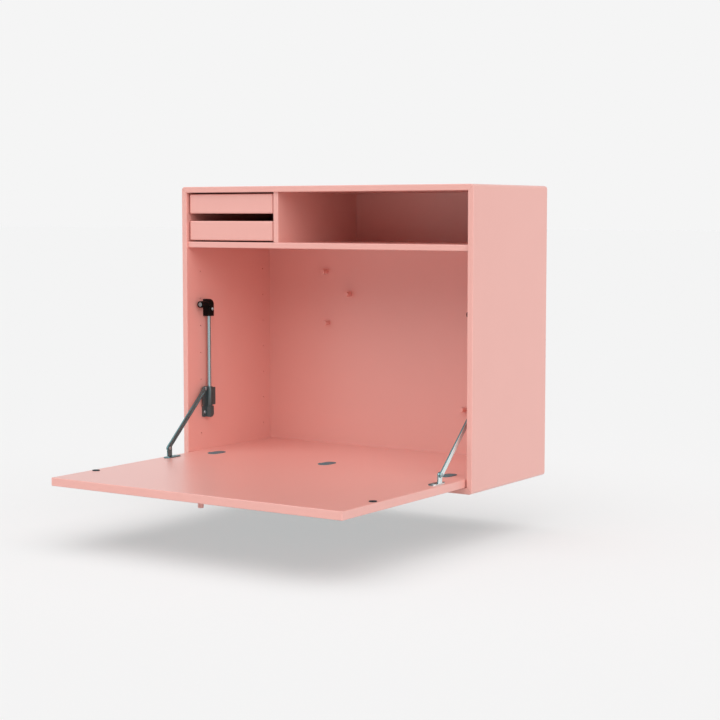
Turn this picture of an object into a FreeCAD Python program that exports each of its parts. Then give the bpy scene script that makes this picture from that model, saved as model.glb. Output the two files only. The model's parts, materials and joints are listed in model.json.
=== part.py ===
import FreeCAD, Part
import Sketcher
import math
import os
import re

# A wall cabinet whose front flap folds down into a desk top.
# The origin is midway between the two hanging holes, on the wall.
# +X is to the right, +Y into the wall and +Z up.
# Sizes are in millimetres. A height is above the cabinet's underside and a setback is behind its front.
# A distance from the wall, on a stay fitting, is measured inwards from the inner face of its side panel.
SIZES = {
    # cabinet
    "width": 696,
    "height": 582,
    "depth": 296,
    "board": 12,
    "back_board": 8,
    "outer_round": 7,
    "edge_round": 1.5,
    "hang_drop": 42,
    "hang_inset": 46,
    "hang_hole_radius": 4,
    # shelf and divider
    "bay_height": 101,
    "bay_width": 220,
    "inner_setback": 5,
    # rows of small holes in the sides
    "grid_pitch": 57,
    "drill_radius": 1.6,
    "drill_depth": 8,
    "drill_setback": 44,
    "drill_back_inset": 25,
    "drill_floor_gap": 20,
    # pegs and knob
    "peg_radius": 5.4,
    "peg_length": 17,
    "peg_round": 1,
    "stem_radius": 3,
    "stem_length": 6,
    # desk top: the fixed inner floor and the flap
    "desk_board": 16,
    "seam_gap": 0.5,
    "flap_lift": 0.4,
    "flap_side_gap": 2.6,
    "flap_top_gap": 1.1,
    "knob_inset": 36.5,
    "knob_length": 15,
    # flap hinges
    "hinge_inset": 52.4,
    "leaf_width": 24,
    "leaf_flat": 0.5,
    "leaf_thick": 1,
    "floor_leaf_reach": 32,
    "flap_leaf_reach": 13,
    "cup_rim": 2,
    "cup_depth": 8,
    "knuckle_radius": 1.6,
    "knuckle_length": 8,
    "hinge_pin_radius": 0.8,
    # stay rods
    "rod_radius": 4,
    "rod_from_wall": 9.5,
    "rod_setback": 60,
    "rod_seat": 6,
    "rod_grip": 11,
    # rod holders with their catch magnets
    "holder_height": 312,
    "holder_tall": 35.6,
    "holder_front": 7.8,
    "holder_deep": 13.8,
    "holder_wall": 4.85,
    "holder_round": 11,
    "holder_screw_inset": 4.5,
    "holder_screw_rise": 14.8,
    "catch_rise": 25.3,
    "catch_from_wall": 11.2,
    "catch_reach": 31.5,
    "boss_wall": 2.45,
    "magnet_radius": 4.5,
    "magnet_depth": 6,
    "magnet_eye_radius": 1.3,
    "magnet_eye_depth": 2,
    "strike_from_wall": 14.1,
    "strike_reach": 315.5,
    "strike_radius": 7.3,
    "strike_thick": 1.3,
    "strike_stem_radius": 2.5,
    "strike_stem_length": 8,
    # rod feet
    "foot_height": 98,
    "foot_tall": 23,
    "foot_front": 14.2,
    "foot_plate_thick": 5,
    "foot_block_front": 5.6,
    "foot_block_deep": 11.4,
    "foot_wall": 2.95,
    "foot_round": 8,
    "foot_screw_inset": 4,
    "foot_screw_rise": 10.5,
    # sliders
    "slider_rest_gap": 0.3,
    "slider_tall": 41,
    "bush_wall": 0.9,
    "barrel_wall": 1.4,
    "ear_wall_gap": 4.2,
    "ear_thick": 2.4,
    "ear_front": 4,
    "ear_lip": 2,
    "ear_lip_rise": 0.8,
    "ear_round": 5,
    "ear_top_rise": 3.8,
    "fin_length": 9.4,
    "fin_thick": 9,
    "fin_round": 2,
    # arms
    "pivot_gap": 2.5,
    "pivot_rise": 37.7,
    "arm_gap": 0.5,
    "arm_thick": 3,
    "arm_width": 10,
    "arm_groove_width": 4,
    "arm_groove_depth": 0.8,
    "rivet_radius": 2.5,
    "rivet_head_radius": 3.6,
    "rivet_head": 1,
    "rivet_clear": 0.3,
    # flap brackets
    "bracket_reach": 92,
    "bracket_rise": 17.6,
    "bracket_length": 45,
    "bracket_width": 16,
    "bracket_thick": 2,
    "bracket_screw_pitch": 26,
    "lug_thick": 2.5,
    "lug_width": 14,
    "lug_flat": 1,
    # trays and runners
    "tray_gap": 3,
    "tray_space": 15,
    "tray_setback": 7,
    "tray_back_gap": 26,
    "tray_front": 12,
    "tray_wall": 10,
    "tray_base": 6,
    "tray_round": 3,
    "groove_rise": 17,
    "groove_play": 1,
    "groove_end_play": 0.5,
    "runner_height": 6,
    "runner_reach": 3.5,
    "runner_inset": 5,
    "runner_back_gap": 18,
    # hanger plates
    "hanger_width": 50,
    "hanger_thick": 2,
    "hanger_screw_pitch": 34,
    # screws
    "screw_radius": 1.5,
    "screw_cover": 2,
    "screw_head_radius": 3.5,
    "screw_head": 2,
    "socket_radius": 1.6,
    "socket_depth": 1.2,
    # clearances
    "fit_play": 0.05,
    "side_play": 0.3,
    "overrun": 1,
}

# Places and sizes that others are worked out from, as sums of the sizes.
WALL = "(width / 2 - board)"
FRONT = "(-depth)"
BASE = "(hang_drop - height)"
BACK = "(-back_board)"
ROOF = "(hang_drop - board)"
HANG_X = f"({WALL} - hang_inset)"
SHELF_TOP = f"({ROOF} - bay_height)"
SHELF_MIDDLE = f"({SHELF_TOP} - board / 2)"
SHELF_UNDER = f"({SHELF_TOP} - board)"
DIVIDER_X = f"(bay_width - {WALL})"
FLOOR_TOP = f"({BASE} + board + desk_board)"
HINGE_Y = f"({FRONT} + desk_board)"
FLAP_UNDER = f"({BASE} + board + flap_lift)"
FLAP_TOP = f"({FLAP_UNDER} + desk_board)"
FLAP_HALF = f"({WALL} - flap_side_gap)"
FLAP_REACH = f"({SHELF_UNDER} - flap_top_gap - {FLAP_TOP})"
FLAP_EDGE = f"({HINGE_Y} - {FLAP_REACH})"
HINGE_X = f"({FLAP_HALF} - hinge_inset)"
LEAF_ROUND = "(leaf_width / 2 - leaf_flat)"
BUSH_RADIUS = "(rod_radius + fit_play + bush_wall)"
BARREL_RADIUS = f"({BUSH_RADIUS} + fit_play + barrel_wall)"
ROD_Y = f"({FRONT} + rod_setback)"
HOLDER_THICK = f"(rod_from_wall + rod_radius + fit_play + holder_wall)"
HOLDER_Y = f"({ROD_Y} - holder_front)"
HOLDER_Z = f"({BASE} + holder_height)"
BOSS_RADIUS = "(magnet_radius + fit_play + boss_wall)"
CATCH_Y = f"({ROD_Y} - catch_reach)"
CATCH_Z = f"({HOLDER_Z} + catch_rise)"
STRIKE_Y = f"({HINGE_Y} - strike_reach)"
FOOT_THICK = f"(rod_from_wall + rod_radius + fit_play + foot_wall)"
FOOT_Y = f"({ROD_Y} - foot_front)"
FOOT_Z = f"({BASE} + foot_height)"
SLIDER_UNDER = f"({FOOT_Z} + foot_tall + slider_rest_gap)"
PIVOT_Y = f"({ROD_Y} - {BARREL_RADIUS} - pivot_gap - arm_width / 2)"
PIVOT_Z = f"({SLIDER_UNDER} + pivot_rise)"
EAR_FACE = "(ear_wall_gap + ear_thick + ear_lip_rise)"
ARM_FROM_WALL = f"({EAR_FACE} + arm_gap)"
LUG_FROM_WALL = f"({ARM_FROM_WALL} + arm_thick + side_play)"
LUG_Y = f"({HINGE_Y} - bracket_reach)"
LUG_Z = f"({FLAP_TOP} + bracket_rise)"
LUG_ROUND = "(lug_width / 2 - lug_flat)"
TRAY_HEIGHT = "((bay_height - 2 * tray_gap - tray_space) / 2)"
TRAY_LENGTH = "(depth - back_board - tray_setback - tray_back_gap)"
GROOVE_HEIGHT = "(runner_height + groove_play)"
GROOVE_DEPTH = "(runner_reach + groove_end_play)"
SCREW_LENGTH = "(board - screw_cover)"
HANGER_SCREW_LENGTH = "(hanger_thick + back_board - screw_cover)"

SIDES = {"left": "-", "right": ""}
# Each peg's place: its share of the width from the middle, and of the compartment's height below the shelf.
PEG_SHARES = ((-0.2614, 0.1306), (-0.1732, 0.2399), (-0.2553, 0.388), (0.2382, 0.7789))
# The two halves of a hinge: which way each goes from the seam, the board it lies on, its reach and its cup.
HINGE_HALVES = {
    "floor": ("+Y", FLOOR_TOP, "floor_leaf_reach", "(leaf_width / 2 - cup_rim)"),
    "flap": ("-Y", FLAP_TOP, "flap_leaf_reach", "(flap_leaf_reach / 2 - cup_rim)"),
}
SOCKET_SIDES = 6

AXES = {
    "+X": FreeCAD.Vector(1, 0, 0),
    "-X": FreeCAD.Vector(-1, 0, 0),
    "+Y": FreeCAD.Vector(0, 1, 0),
    "-Y": FreeCAD.Vector(0, -1, 0),
    "+Z": FreeCAD.Vector(0, 0, 1),
    "-Z": FreeCAD.Vector(0, 0, -1),
}
TOLERANCE = 1e-6

doc = FreeCAD.newDocument("fold_down_wall_desk")
sheet = doc.addObject("Spreadsheet::Sheet", "Sizes")
for row, (alias, number) in enumerate(SIZES.items(), start=1):
    sheet.set(f"A{row}", alias)
    sheet.set(f"B{row}", str(number))
    sheet.setAlias(f"B{row}", alias)
doc.recompute()

nodes = []


def qualified(text):
    """The sum with every size's name pointing at its cell."""
    return re.sub(r"[a-z_]+", lambda word: f"Sizes.{word[0]}" if word[0] in SIZES else word[0], text)


def value(text):
    """What a sum of sizes comes to."""
    return float(sheet.evalExpression(qualified(text)))


def bind(item, **sums):
    """Tie properties of an object to sums of sizes."""
    for name, text in sums.items():
        item.setExpression(name, qualified(text))


def place(item, point, axis="+Z"):
    """Put an object's origin at a point, with its own Z along an axis."""
    item.Placement = FreeCAD.Placement(FreeCAD.Vector(), FreeCAD.Rotation(AXES["+Z"], AXES[axis]))
    for letter, text in zip("xyz", point):
        item.setExpression(f"Placement.Base.{letter}", qualified(text))


def node(item, label):
    """Name a finished sub-part."""
    item.Label = label
    nodes.append(item)
    return item


def box(name, size, corner):
    """A plain block from its lowest corner."""
    item = doc.addObject("Part::Box", name)
    bind(item, Length=size[0], Width=size[1], Height=size[2])
    place(item, corner)
    return item


def cylinder(name, radius, length, start, axis="+Z"):
    """A round bar or drill that starts at a point and runs along an axis."""
    item = doc.addObject("Part::Cylinder", name)
    bind(item, Radius=radius, Height=length)
    place(item, start, axis)
    return item


def fuse(name, *items):
    """One solid from overlapping pieces."""
    item = doc.addObject("Part::MultiFuse", name)
    item.Shapes = list(items)
    item.Refine = True
    return item


def group(name, items):
    """Separate solids kept together."""
    item = doc.addObject("Part::Compound", name)
    item.Links = list(items)
    return item


def cut(name, base, *tools):
    """A piece less one or more tools that lie apart."""
    item = doc.addObject("Part::Cut", name)
    item.Base = base
    item.Tool = tools[0] if len(tools) == 1 else group(f"{name}_tools", tools)
    return item


def polygon(sketch, corners):
    """A closed outline with every corner tied to sums of sizes."""
    points = [FreeCAD.Vector(value(across), value(along)) for across, along in corners]
    first = sketch.GeometryCount
    count = len(points)
    for step in range(count):
        sketch.addGeometry(Part.LineSegment(points[step], points[(step + 1) % count]), False)
    for step in range(count):
        sketch.addConstraint(
            Sketcher.Constraint("Coincident", first + step, 2, first + (step + 1) % count, 1)
        )
    for step, corner in enumerate(corners):
        for kind, axis, text in (("DistanceX", -2, corner[0]), ("DistanceY", -1, corner[1])):
            if text == "0":
                sketch.addConstraint(Sketcher.Constraint("PointOnObject", first + step, 1, axis))
                continue
            number = sketch.addConstraint(Sketcher.Constraint(kind, -1, 1, first + step, 1, value(text)))
            sketch.setExpression(f"Constraints[{number}]", qualified(text))


def sketched(name, plane, *outlines):
    """A new body with one sketch on one of its own planes."""
    body = doc.addObject("PartDesign::Body", name)
    sketch = body.newObject("Sketcher::SketchObject", f"{name}_sketch")
    support = next(item for item in body.Origin.OriginFeatures if item.Role == plane)
    sketch.AttachmentSupport = [(support, "")]
    sketch.MapMode = "FlatFace"
    for corners in outlines:
        polygon(sketch, corners)
    return body, sketch


def padded(name, plane, length, *outlines):
    """A body with one pad."""
    body, sketch = sketched(name, plane, *outlines)
    pad = body.newObject("PartDesign::Pad", f"{name}_pad")
    pad.Profile = sketch
    bind(pad, Length=length)
    doc.recompute()
    return body


def rounded(body, radius, chosen):
    """Fillet the edges of a body that a test picks."""
    base = body.Tip
    names = [f"Edge{place}" for place, edge in enumerate(base.Shape.Edges, start=1) if chosen(edge)]
    fillet = body.newObject("PartDesign::Fillet", f"{body.Name}_round")
    fillet.Base = (base, names)
    bind(fillet, Radius=radius)
    doc.recompute()
    return body


def board(name, size, corner, radius=None, chosen=None):
    """A flat board, with the edges that a test picks rounded.

    The test gets the middle of an edge as shares of the board's size.
    """
    wide, deep, tall = size
    outline = (("0", "0"), (wide, "0"), (wide, deep), ("0", deep))
    body = padded(name, "XY_Plane", tall, outline)
    if chosen:
        spans = [value(text) for text in size]

        def picked(edge):
            middle = edge.CenterOfMass
            return chosen(*(round(part / span, 3) for part, span in zip(middle, spans)))

        rounded(body, radius, picked)
    place(body, corner)
    return body


def front_edges(across, along, up):
    """The long edges of a board's front."""
    return along == 0 and up in (0, 1)


def all_but_back(across, along, up):
    """Every edge that doesn't lie on a board's back."""
    return along < 1


def peg(name, length, seat, axis):
    """A turned peg with a stem that sits in a blind hole below its seat."""
    top = f"(stem_length + {length})"
    outline = (
        ("0", "0"),
        ("stem_radius", "0"),
        ("stem_radius", "stem_length"),
        ("peg_radius", "stem_length"),
        ("peg_radius", top),
        ("0", top),
    )
    body, sketch = sketched(name, "XZ_Plane", outline)
    turn = body.newObject("PartDesign::Revolution", f"{name}_turn")
    turn.Profile = sketch
    turn.ReferenceAxis = (sketch, ["V_Axis"])
    doc.recompute()
    end = value(top)
    rounded(
        body, "peg_round", lambda edge: edge.BoundBox.ZMin > end - TOLERANCE and edge.BoundBox.XLength > 0
    )
    place(body, stepped(seat, axis, "-stem_length"), axis)
    return body


def stepped(point, axis, distance):
    """A point moved along an axis."""
    sign, letter = axis
    moved = list(point)
    index = "XYZ".index(letter)
    moved[index] = f"({point[index]} {sign} ({distance}))"
    return tuple(moved)


def opposite(axis):
    """The same axis the other way."""
    return axis.translate(str.maketrans("+-", "-+"))


def screw(name, seat, axis, length):
    """A socket screw whose head stands on its seat and whose shank runs along the axis."""
    outward = opposite(axis)
    top = stepped(seat, outward, "screw_head")
    head = cylinder(f"{name}_head", "screw_head_radius", "screw_head", seat, outward)
    shank = cylinder(
        f"{name}_shank",
        "screw_radius",
        f"{length} + screw_head / 2",
        stepped(seat, outward, "screw_head / 2"),
        axis,
    )
    socket = doc.addObject("Part::Prism", f"{name}_socket")
    socket.Polygon = SOCKET_SIDES
    bind(socket, Circumradius="socket_radius", Height="socket_depth + overrun")
    place(socket, stepped(top, outward, "overrun"), axis)
    return cut(name, fuse(f"{name}_blank", head, shank), socket)


def pilot(name, seat, axis, length):
    """The hole that a screw's shank goes into, through everything from just above its seat."""
    start = stepped(seat, opposite(axis), "overrun")
    return cylinder(name, "screw_radius + fit_play", f"{length} + overrun + side_play", start, axis)


def beside_wall(side, near, far):
    """The lowest X of a block that reaches from near to far from a side panel's inner face."""
    return f"({near} - {WALL})" if side == "left" else f"({WALL} - ({far}))"


def at_wall(side, distance):
    """The X of a point at a distance from a side panel's inner face."""
    return f"{SIDES[side]}({WALL} - ({distance}))"


def wallward(side):
    """The direction from the middle to a side panel."""
    return "-X" if side == "left" else "+X"


# Places that more than one piece needs.
def peg_seats():
    """Where the pegs meet the back panel."""
    clear = f"({SHELF_UNDER} - {FLOOR_TOP})"
    return [(f"{across} * width", BACK, f"{SHELF_UNDER} - {down} * {clear}") for across, down in PEG_SHARES]


def hanger_points():
    """The hanging holes, on the face of the hanger plates."""
    return [(f"{sign}{HANG_X}", f"({BACK} - hanger_thick)", "0") for sign in SIDES.values()]


def hanger_screw_seats():
    """Two screws on each hanger plate, above and below its hole."""
    return [
        stepped(point, axis, "hanger_screw_pitch / 2")
        for point in hanger_points()
        for axis in ("+Z", "-Z")
    ]


def stay_screw_seats(side):
    """The screw of a rod holder and that of a rod foot, each with its length."""
    holder = (
        at_wall(side, HOLDER_THICK),
        f"{HOLDER_Y} + holder_deep - holder_screw_inset",
        f"{HOLDER_Z} + holder_screw_rise",
    )
    foot = (
        at_wall(side, "foot_plate_thick"),
        f"{FOOT_Y} + foot_screw_inset",
        f"{FOOT_Z} + foot_screw_rise",
    )
    return ((holder, f"{HOLDER_THICK} + {SCREW_LENGTH}"), (foot, f"foot_plate_thick + {SCREW_LENGTH}"))


def bracket_screw_seats(side):
    """Two screws on a flap bracket's foot, before and behind its lug."""
    middle = (
        at_wall(side, f"{LUG_FROM_WALL} + bracket_width / 2"),
        LUG_Y,
        f"{FLAP_TOP} + bracket_thick",
    )
    return [stepped(middle, axis, "bracket_screw_pitch / 2") for axis in ("+Y", "-Y")]


def hinge_centres():
    """The three hinges, left to right."""
    return (f"-{HINGE_X}", "0", HINGE_X)


def strike_point(side):
    """The middle of a strike disc's seat on the flap."""
    return (at_wall(side, "strike_from_wall"), STRIKE_Y, FLAP_TOP)


def knob_seat():
    """Where the knob meets the flap's outer face."""
    return ("0", f"{FLAP_EDGE} + knob_inset", FLAP_UNDER)


def carcass_ring():
    """The four outer panels as one rounded ring, to be divided at the mitres."""
    outer = (("0", "0"), ("width", "0"), ("width", "height"), ("0", "height"))
    inner = (
        ("board", "board"),
        ("width - board", "board"),
        ("width - board", "height - board"),
        ("board", "height - board"),
    )
    ring = padded("carcass_ring", "XZ_Plane", "depth", outer, inner)
    middle = FreeCAD.Vector(value("width / 2"), value(f"{FRONT} / 2"), value("height / 2"))
    reach = value("width / 2") - TOLERANCE

    def long_edge(edge):
        return abs(edge.CenterOfMass.x - middle.x) > reach and abs(edge.CenterOfMass.y - middle.y) < TOLERANCE

    rounded(ring, "outer_round", long_edge)
    front = value(FRONT)
    rounded(ring, "edge_round", lambda edge: edge.BoundBox.YMax < front + TOLERANCE)
    place(ring, ("-width / 2", "0", BASE))
    return ring


def mitred(ring, name, length, start, along, inward):
    """One panel of the ring, between the mitres at its two ends."""
    wedge = doc.addObject("Part::Wedge", f"{name}_mitre")
    bind(wedge, Xmin=f"-{length} / 2 - overrun", Xmax=f"{length} / 2 + overrun")
    bind(wedge, Ymin="-overrun", Ymax="board + overrun")
    bind(wedge, X2min=f"-{length} / 2 + board + overrun", X2max=f"{length} / 2 - board - overrun")
    bind(wedge, Zmin="-depth - overrun", Zmax="depth + overrun")
    bind(wedge, Z2min="-depth - overrun", Z2max="depth + overrun")
    rotation = FreeCAD.Rotation(AXES[along], AXES[inward], AXES[along].cross(AXES[inward]), "XYZ")
    place(wedge, start)
    wedge.Placement = FreeCAD.Placement(wedge.Placement.Base, rotation)
    panel = doc.addObject("Part::Common", f"{name}_panel")
    panel.Base = ring
    panel.Tool = wedge
    return panel


def side_drills(side):
    """The holes in a side panel: two rows for shelf pins and those of the stay's screws."""
    outward = wallward(side)
    start = at_wall(side, "overrun")
    columns = (f"{FRONT} + drill_setback", f"{BACK} - drill_back_inset")
    drills = []
    rows = int(value(f"({SHELF_MIDDLE} - {FLOOR_TOP} - drill_floor_gap) / grid_pitch"))
    for row in range(1, rows + 1):
        height = f"{SHELF_MIDDLE} - {row} * grid_pitch"
        for column in columns:
            point = (start, column, height)
            drills.append(
                cylinder(f"{side}_drill", "drill_radius", "drill_depth + overrun", point, outward)
            )
    for seat, length in stay_screw_seats(side):
        drills.append(pilot(f"{side}_stay_pilot", seat, outward, length))
    return drills


def make_cabinet_panels():
    """The mitred outer panels and the back between them."""
    ring = carcass_ring()
    middle = f"{BASE} + height / 2"
    top = mitred(ring, "top", "width", ("0", "0", f"{BASE} + height"), "+X", "-Z")
    node(top, "top_panel")
    bottom = mitred(ring, "bottom", "width", ("0", "0", BASE), "+X", "+Z")
    node(bottom, "bottom_panel")
    for side, sign in SIDES.items():
        inward = opposite(wallward(side))
        panel = mitred(ring, side, "height", (f"{sign}width / 2", "0", middle), "+Z", inward)
        node(cut(f"{side}_drilled", panel, *side_drills(side)), f"{side}_side")
    back = board(
        "back_blank",
        ("width - 2 * board", "back_board", "height - 2 * board"),
        (f"-{WALL}", BACK, f"{BASE} + board"),
    )
    holes = [
        cylinder(
            "hang_hole",
            "hang_hole_radius",
            "back_board + hanger_thick + 2 * overrun",
            stepped(point, "-Y", "overrun"),
            "+Y",
        )
        for point in hanger_points()
    ]
    holes += [pilot("hanger_pilot", seat, "+Y", HANGER_SCREW_LENGTH) for seat in hanger_screw_seats()]
    holes += [
        cylinder(
            "peg_hole",
            "stem_radius + fit_play",
            "stem_length + overrun + side_play",
            stepped(seat, "-Y", "overrun"),
            "+Y",
        )
        for seat in peg_seats()
    ]
    node(cut("back_drilled", back, *holes), "back_panel")


def make_inner_boards():
    """The shelf, the divider of the upper bays, and the fixed floor behind the hinges."""
    deep = "(depth - back_board - inner_setback)"
    start = f"{FRONT} + inner_setback"
    shelf = board(
        "shelf_board",
        ("width - 2 * board", deep, "board"),
        (f"-{WALL}", start, SHELF_UNDER),
        "edge_round",
        front_edges,
    )
    node(shelf, "shelf")
    divider = board(
        "divider_board",
        ("board", deep, f"{ROOF} - {SHELF_TOP}"),
        (DIVIDER_X, start, SHELF_TOP),
        "edge_round",
        lambda across, along, up: along == 0 and across in (0, 1),
    )
    node(divider, "divider")
    seam = f"{HINGE_Y} + seam_gap"
    floor = board(
        "floor_board",
        ("width - 2 * board", f"{BACK} - ({seam})", "desk_board"),
        (f"-{WALL}", seam, f"{BASE} + board"),
    )
    tools = [tool for centre in hinge_centres() for tool in hinge_recess("floor", centre)]
    node(cut("floor_recessed", floor, *tools), "inner_floor")


def make_pegs():
    """The pegs on the back panel."""
    pegs = [peg(f"peg_{step}", "peg_length", seat, "-Y") for step, seat in enumerate(peg_seats())]
    node(group("peg_set", pegs), "back_pegs")


def make_hangers():
    """Steel plates that stiffen the back round the hanging holes, with their screws."""
    plates = []
    for point in hanger_points():
        half = "hanger_width / 2"
        corner = (f"{point[0]} - {half}", point[1], f"{point[2]} - {half}")
        plate = board(
            "hanger_plate",
            ("hanger_width", "hanger_thick", "hanger_width"),
            corner,
            "outer_round",
            lambda across, along, up: along == 0.5,
        )
        hole = cylinder(
            "hanger_hole",
            "hang_hole_radius",
            "hanger_thick + 2 * overrun",
            stepped(point, "-Y", "overrun"),
            "+Y",
        )
        seats = [stepped(point, axis, "hanger_screw_pitch / 2") for axis in ("+Z", "-Z")]
        pilots = [pilot("plate_pilot", seat, "+Y", HANGER_SCREW_LENGTH) for seat in seats]
        plates.append(cut("hanger_drilled", plate, hole, *pilots))
    node(group("hanger_set", plates), "hanger_plates")
    screws = [screw("hanger_screw", seat, "+Y", HANGER_SCREW_LENGTH) for seat in hanger_screw_seats()]
    node(group("hanger_screw_set", screws), "hanger_screws")


def hinge_recess(own, centre):
    """The cup's bore and the notch for the knuckles in one board of the desk top."""
    away, surface, leaf_reach, cup_radius = HINGE_HALVES[own]
    bore = cylinder(
        "cup_bore",
        f"{cup_radius} + fit_play",
        "cup_depth + side_play + overrun",
        stepped((centre, HINGE_Y, f"{surface} - cup_depth - side_play"), away, f"{leaf_reach} / 2"),
    )
    reach = "(knuckle_radius + 2 * side_play)"
    width = "(leaf_width + 2 * side_play)"
    corner = (f"{centre} - {width} / 2", f"{HINGE_Y} - {reach}", f"{FLAP_TOP} - {reach}")
    notch = box("knuckle_notch", (width, f"2 * {reach}", f"{reach} + overrun"), corner)
    return bore, notch


def knuckle_spans(own):
    """The stretches of a hinge's knuckles, from its middle: the flap's one and the floor's two."""
    gap = "(knuckle_length / 2 + side_play)"
    if own == "flap":
        return (("-knuckle_length / 2", "knuckle_length"),)
    outer = f"(leaf_width / 2 - {gap})"
    return (("-leaf_width / 2", outer), (gap, outer))


def hinge_leaf(own, other, centre):
    """One half of a flap hinge: a rounded plate with a cup under it and its share of the knuckles."""
    name = f"{own}_leaf"
    away, surface, reach, cup_radius = HINGE_HALVES[own]
    far_end = 1 if away == "+Y" else 0
    blade = board(
        f"{name}_blade",
        ("leaf_width", reach, "leaf_thick"),
        (f"{centre} - leaf_width / 2", f"{HINGE_Y} - {1 - far_end} * {reach}", surface),
        LEAF_ROUND,
        lambda across, along, up: along == far_end and up == 0.5,
    )
    cup = cylinder(
        f"{name}_cup",
        cup_radius,
        "cup_depth + leaf_thick",
        stepped((centre, HINGE_Y, f"{surface} - cup_depth"), away, f"{reach} / 2"),
    )
    plate = fuse(f"{name}_plate", blade, cup)
    clear = [
        cylinder(
            f"{name}_clear",
            "knuckle_radius + side_play",
            f"{length} + 2 * side_play",
            (f"{centre} + {start} - side_play", HINGE_Y, FLAP_TOP),
            "+X",
        )
        for start, length in knuckle_spans(other)
    ]
    knuckles = [
        cylinder(
            f"{name}_knuckle", "knuckle_radius", length, (f"{centre} + {start}", HINGE_Y, FLAP_TOP), "+X"
        )
        for start, length in knuckle_spans(own)
    ]
    bored = cylinder(
        f"{name}_bore",
        "hinge_pin_radius + fit_play",
        "leaf_width + 2 * overrun",
        (f"{centre} - leaf_width / 2 - overrun", HINGE_Y, FLAP_TOP),
        "+X",
    )
    return cut(name, fuse(f"{name}_blank", cut(f"{name}_cleared", plate, *clear), *knuckles), bored)


def make_hinges():
    """Three flap hinges: a leaf in the floor, a leaf in the flap and the pin through their knuckles."""
    floor_leaves = [hinge_leaf("floor", "flap", centre) for centre in hinge_centres()]
    node(group("floor_leaf_set", floor_leaves), "hinge_floor_leaves")
    flap_leaves = [hinge_leaf("flap", "floor", centre) for centre in hinge_centres()]
    node(group("flap_leaf_set", flap_leaves), "hinge_flap_leaves")
    pins = [
        cylinder(
            "hinge_pin",
            "hinge_pin_radius",
            "leaf_width",
            (f"{centre} - leaf_width / 2", HINGE_Y, FLAP_TOP),
            "+X",
        )
        for centre in hinge_centres()
    ]
    node(group("hinge_pin_set", pins), "hinge_pins")


def make_flap():
    """The flap with its knob and strike discs."""
    panel = board(
        "flap_board",
        (f"2 * {FLAP_HALF}", f"{FLAP_REACH} - seam_gap", "desk_board"),
        (f"-{FLAP_HALF}", FLAP_EDGE, FLAP_UNDER),
        "edge_round",
        all_but_back,
    )
    tools = [tool for centre in hinge_centres() for tool in hinge_recess("flap", centre)]
    knob_hole = stepped(knob_seat(), "-Z", "overrun")
    tools.append(
        cylinder("knob_hole", "stem_radius + fit_play", "stem_length + side_play + overrun", knob_hole)
    )
    discs = []
    for side in SIDES:
        seat = strike_point(side)
        deep = "strike_stem_length"
        hole = stepped(seat, "-Z", f"{deep} + side_play")
        tools.append(
            cylinder(
                f"{side}_strike_hole",
                "strike_stem_radius + fit_play",
                f"{deep} + side_play + overrun",
                hole,
            ),
        )
        disc = cylinder(f"{side}_strike_disc", "strike_radius", "strike_thick", seat)
        stem = cylinder(
            f"{side}_strike_stem", "strike_stem_radius", f"{deep} + strike_thick", stepped(seat, "-Z", deep)
        )
        discs.append(fuse(f"{side}_strike", disc, stem))
        for point in bracket_screw_seats(side):
            tools.append(pilot(f"{side}_bracket_pilot", point, "-Z", f"bracket_thick + {SCREW_LENGTH}"))
    node(cut("flap_drilled", panel, *tools), "flap_panel")
    node(peg("knob_peg", "knob_length", knob_seat(), "-Z"), "flap_knob")
    node(group("strike_set", discs), "strike_discs")


def make_rod(side):
    """The chrome rod that a slider runs on."""
    start = (at_wall(side, "rod_from_wall"), ROD_Y, f"{FOOT_Z} + rod_seat")
    length = f"({HOLDER_Z} + rod_grip - {FOOT_Z} - rod_seat)"
    node(cylinder(f"{side}_rod", "rod_radius", length, start), f"{side}_stay_rod")


def rod_bore(side, low, length):
    """A bore for the rod through a fitting."""
    return cylinder(
        f"{side}_rod_bore", "rod_radius + fit_play", length, (at_wall(side, "rod_from_wall"), ROD_Y, low)
    )


def make_holder(side):
    """The black fitting at the rod's upper end, with a boss that carries the catch magnet."""
    block = board(
        f"{side}_holder_block",
        (HOLDER_THICK, "holder_deep", "holder_tall"),
        (beside_wall(side, "0", HOLDER_THICK), HOLDER_Y, HOLDER_Z),
        "holder_round",
        lambda across, along, up: across == (1 if side == "left" else 0) and up == 1,
    )
    face = (at_wall(side, "catch_from_wall"), CATCH_Y, CATCH_Z)
    boss = cylinder(f"{side}_boss", BOSS_RADIUS, f"{HOLDER_Y} + overrun - {CATCH_Y}", face, "+Y")
    whole = fuse(f"{side}_holder_blank", block, boss)
    pocket = cylinder(
        f"{side}_magnet_pocket",
        "magnet_radius + fit_play",
        "magnet_depth + overrun",
        stepped(face, "-Y", "overrun"),
        "+Y",
    )
    bore = rod_bore(side, f"{HOLDER_Z} - overrun", "rod_grip + overrun")
    seat, length = stay_screw_seats(side)[0]
    hole = pilot(f"{side}_holder_pilot", seat, wallward(side), length)
    node(cut(f"{side}_holder", whole, pocket, bore, hole), f"{side}_rod_holder")
    magnet = cylinder(f"{side}_magnet_blank", "magnet_radius", "magnet_depth", face, "+Y")
    eye = cylinder(
        f"{side}_magnet_eye",
        "magnet_eye_radius",
        "magnet_eye_depth + overrun",
        stepped(face, "-Y", "overrun"),
        "+Y",
    )
    return cut(f"{side}_magnet", magnet, eye)


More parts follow.
